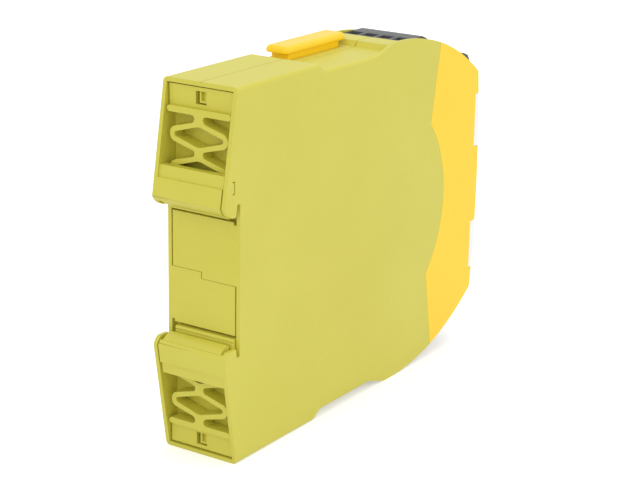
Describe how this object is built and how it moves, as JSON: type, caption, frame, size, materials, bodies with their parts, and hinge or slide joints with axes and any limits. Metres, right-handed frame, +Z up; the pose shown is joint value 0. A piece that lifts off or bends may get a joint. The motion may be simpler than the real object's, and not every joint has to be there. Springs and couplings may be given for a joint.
{
  "type": "safety relay",
  "caption": "Slim rail-mounted safety relay in a two-part moulded housing with a front cover, pull-off terminal blocks and sprung feet at the back that clip it to a top-hat rail.",
  "frame": {"origin": "middle of the rail seat at the back of the housing, midway across its width and its height", "axes": "+X across the width, +Y out of the back towards the rail, +Z up as it hangs on a rail"},
  "size_m": [0.0226, 0.127, 0.0998],
  "materials": {
    "housing_plastic": "satin",
    "cover_plastic": "satin",
    "label_plastic": "satin",
    "plug_plastic": "satin",
    "socket_plastic": "satin",
    "terminal_plastic": "satin",
    "header_plastic": "satin",
    "screw_steel": "zinc plated",
    "cage_steel": "nickel plated",
    "pin_tin": "tin plated",
    "board_laminate": "satin",
    "relay_plastic": "satin",
    "core_steel": "dull",
    "coil_copper": "enamelled",
    "can_aluminium": "satin",
    "chip_plastic": "satin",
    "knob_plastic": "satin",
    "guide_plastic": "clear",
    "lamp_plastic": "milky"
  },
  "bodies": {
    "housing": {"left_shell": "housing_plastic", "right_shell": "housing_plastic", "front_cover": "cover_plastic", "upper_label_plate": "label_plastic", "lower_label_plate": "label_plastic", "link_socket": "socket_plastic", "upper_rail_spring": "housing_plastic", "lower_rail_spring": "housing_plastic", "main_board": "board_laminate", "panel_board": "board_laminate", "upper_relay": "relay_plastic", "lower_relay": "relay_plastic", "transformer_core": "core_steel", "transformer_coils": "coil_copper", "capacitors": "can_aluminium", "controllers": "chip_plastic", "selector_switch": "chip_plastic", "light_guides": "guide_plastic", "status_lamps": "lamp_plastic", "upper_rear_pin_header": "header_plastic", "upper_rear_header_pins": "pin_tin", "upper_front_pin_header": "header_plastic", "upper_front_header_pins": "pin_tin", "lower_rear_pin_header": "header_plastic", "lower_rear_header_pins": "pin_tin", "lower_front_pin_header": "header_plastic", "lower_front_header_pins": "pin_tin"},
    "upper_foot": {"upper_rail_foot": "housing_plastic"},
    "lower_foot": {"lower_rail_foot": "housing_plastic"},
    "link_plug": {"link_plug": "plug_plastic"},
    "upper_rear_terminals": {"upper_rear_terminal_block": "terminal_plastic", "upper_rear_clamp_screws": "screw_steel", "upper_rear_wire_cages": "cage_steel"},
    "upper_front_terminals": {"upper_front_terminal_block": "terminal_plastic", "upper_front_clamp_screws": "screw_steel", "upper_front_wire_cages": "cage_steel"},
    "lower_rear_terminals": {"lower_rear_terminal_block": "terminal_plastic", "lower_rear_clamp_screws": "screw_steel", "lower_rear_wire_cages": "cage_steel"},
    "lower_front_terminals": {"lower_front_terminal_block": "terminal_plastic", "lower_front_clamp_screws": "screw_steel", "lower_front_wire_cages": "cage_steel"},
    "selector": {"selector_knob": "knob_plastic"}
  },
  "joints": [
    {"name": "upper_foot_slide", "type": "slide", "parent": "housing", "child": "upper_foot", "axis": [0, 0, 1], "range_m": [0, 0.0035], "stiffness_N_per_m": 4000, "springref_m": -0.001, "deforming": ["upper_rail_spring"]},
    {"name": "lower_foot_slide", "type": "slide", "parent": "housing", "child": "lower_foot", "axis": [0, 0, -1], "range_m": [0, 0.0035], "stiffness_N_per_m": 4000, "springref_m": -0.001, "deforming": ["lower_rail_spring"]},
    {"name": "link_plug_pull", "type": "slide", "parent": "housing", "child": "link_plug", "axis": [0, 0, 1], "range_m": [0, 0.012]},
    {"name": "upper_rear_terminals_pull", "type": "slide", "parent": "housing", "child": "upper_rear_terminals", "axis": [0, -1, 0], "range_m": [0, 0.012]},
    {"name": "upper_front_terminals_pull", "type": "slide", "parent": "housing", "child": "upper_front_terminals", "axis": [0, -1, 0], "range_m": [0, 0.012]},
    {"name": "lower_rear_terminals_pull", "type": "slide", "parent": "housing", "child": "lower_rear_terminals", "axis": [0, -1, 0], "range_m": [0, 0.012]},
    {"name": "lower_front_terminals_pull", "type": "slide", "parent": "housing", "child": "lower_front_terminals", "axis": [0, -1, 0], "range_m": [0, 0.012]},
    {"name": "selector_turn", "type": "hinge", "parent": "housing", "child": "selector", "pos_m": [-0.0034, -0.12, -0.001], "axis": [0, 1, 0], "range_deg": [-120, 120]}
  ]
}
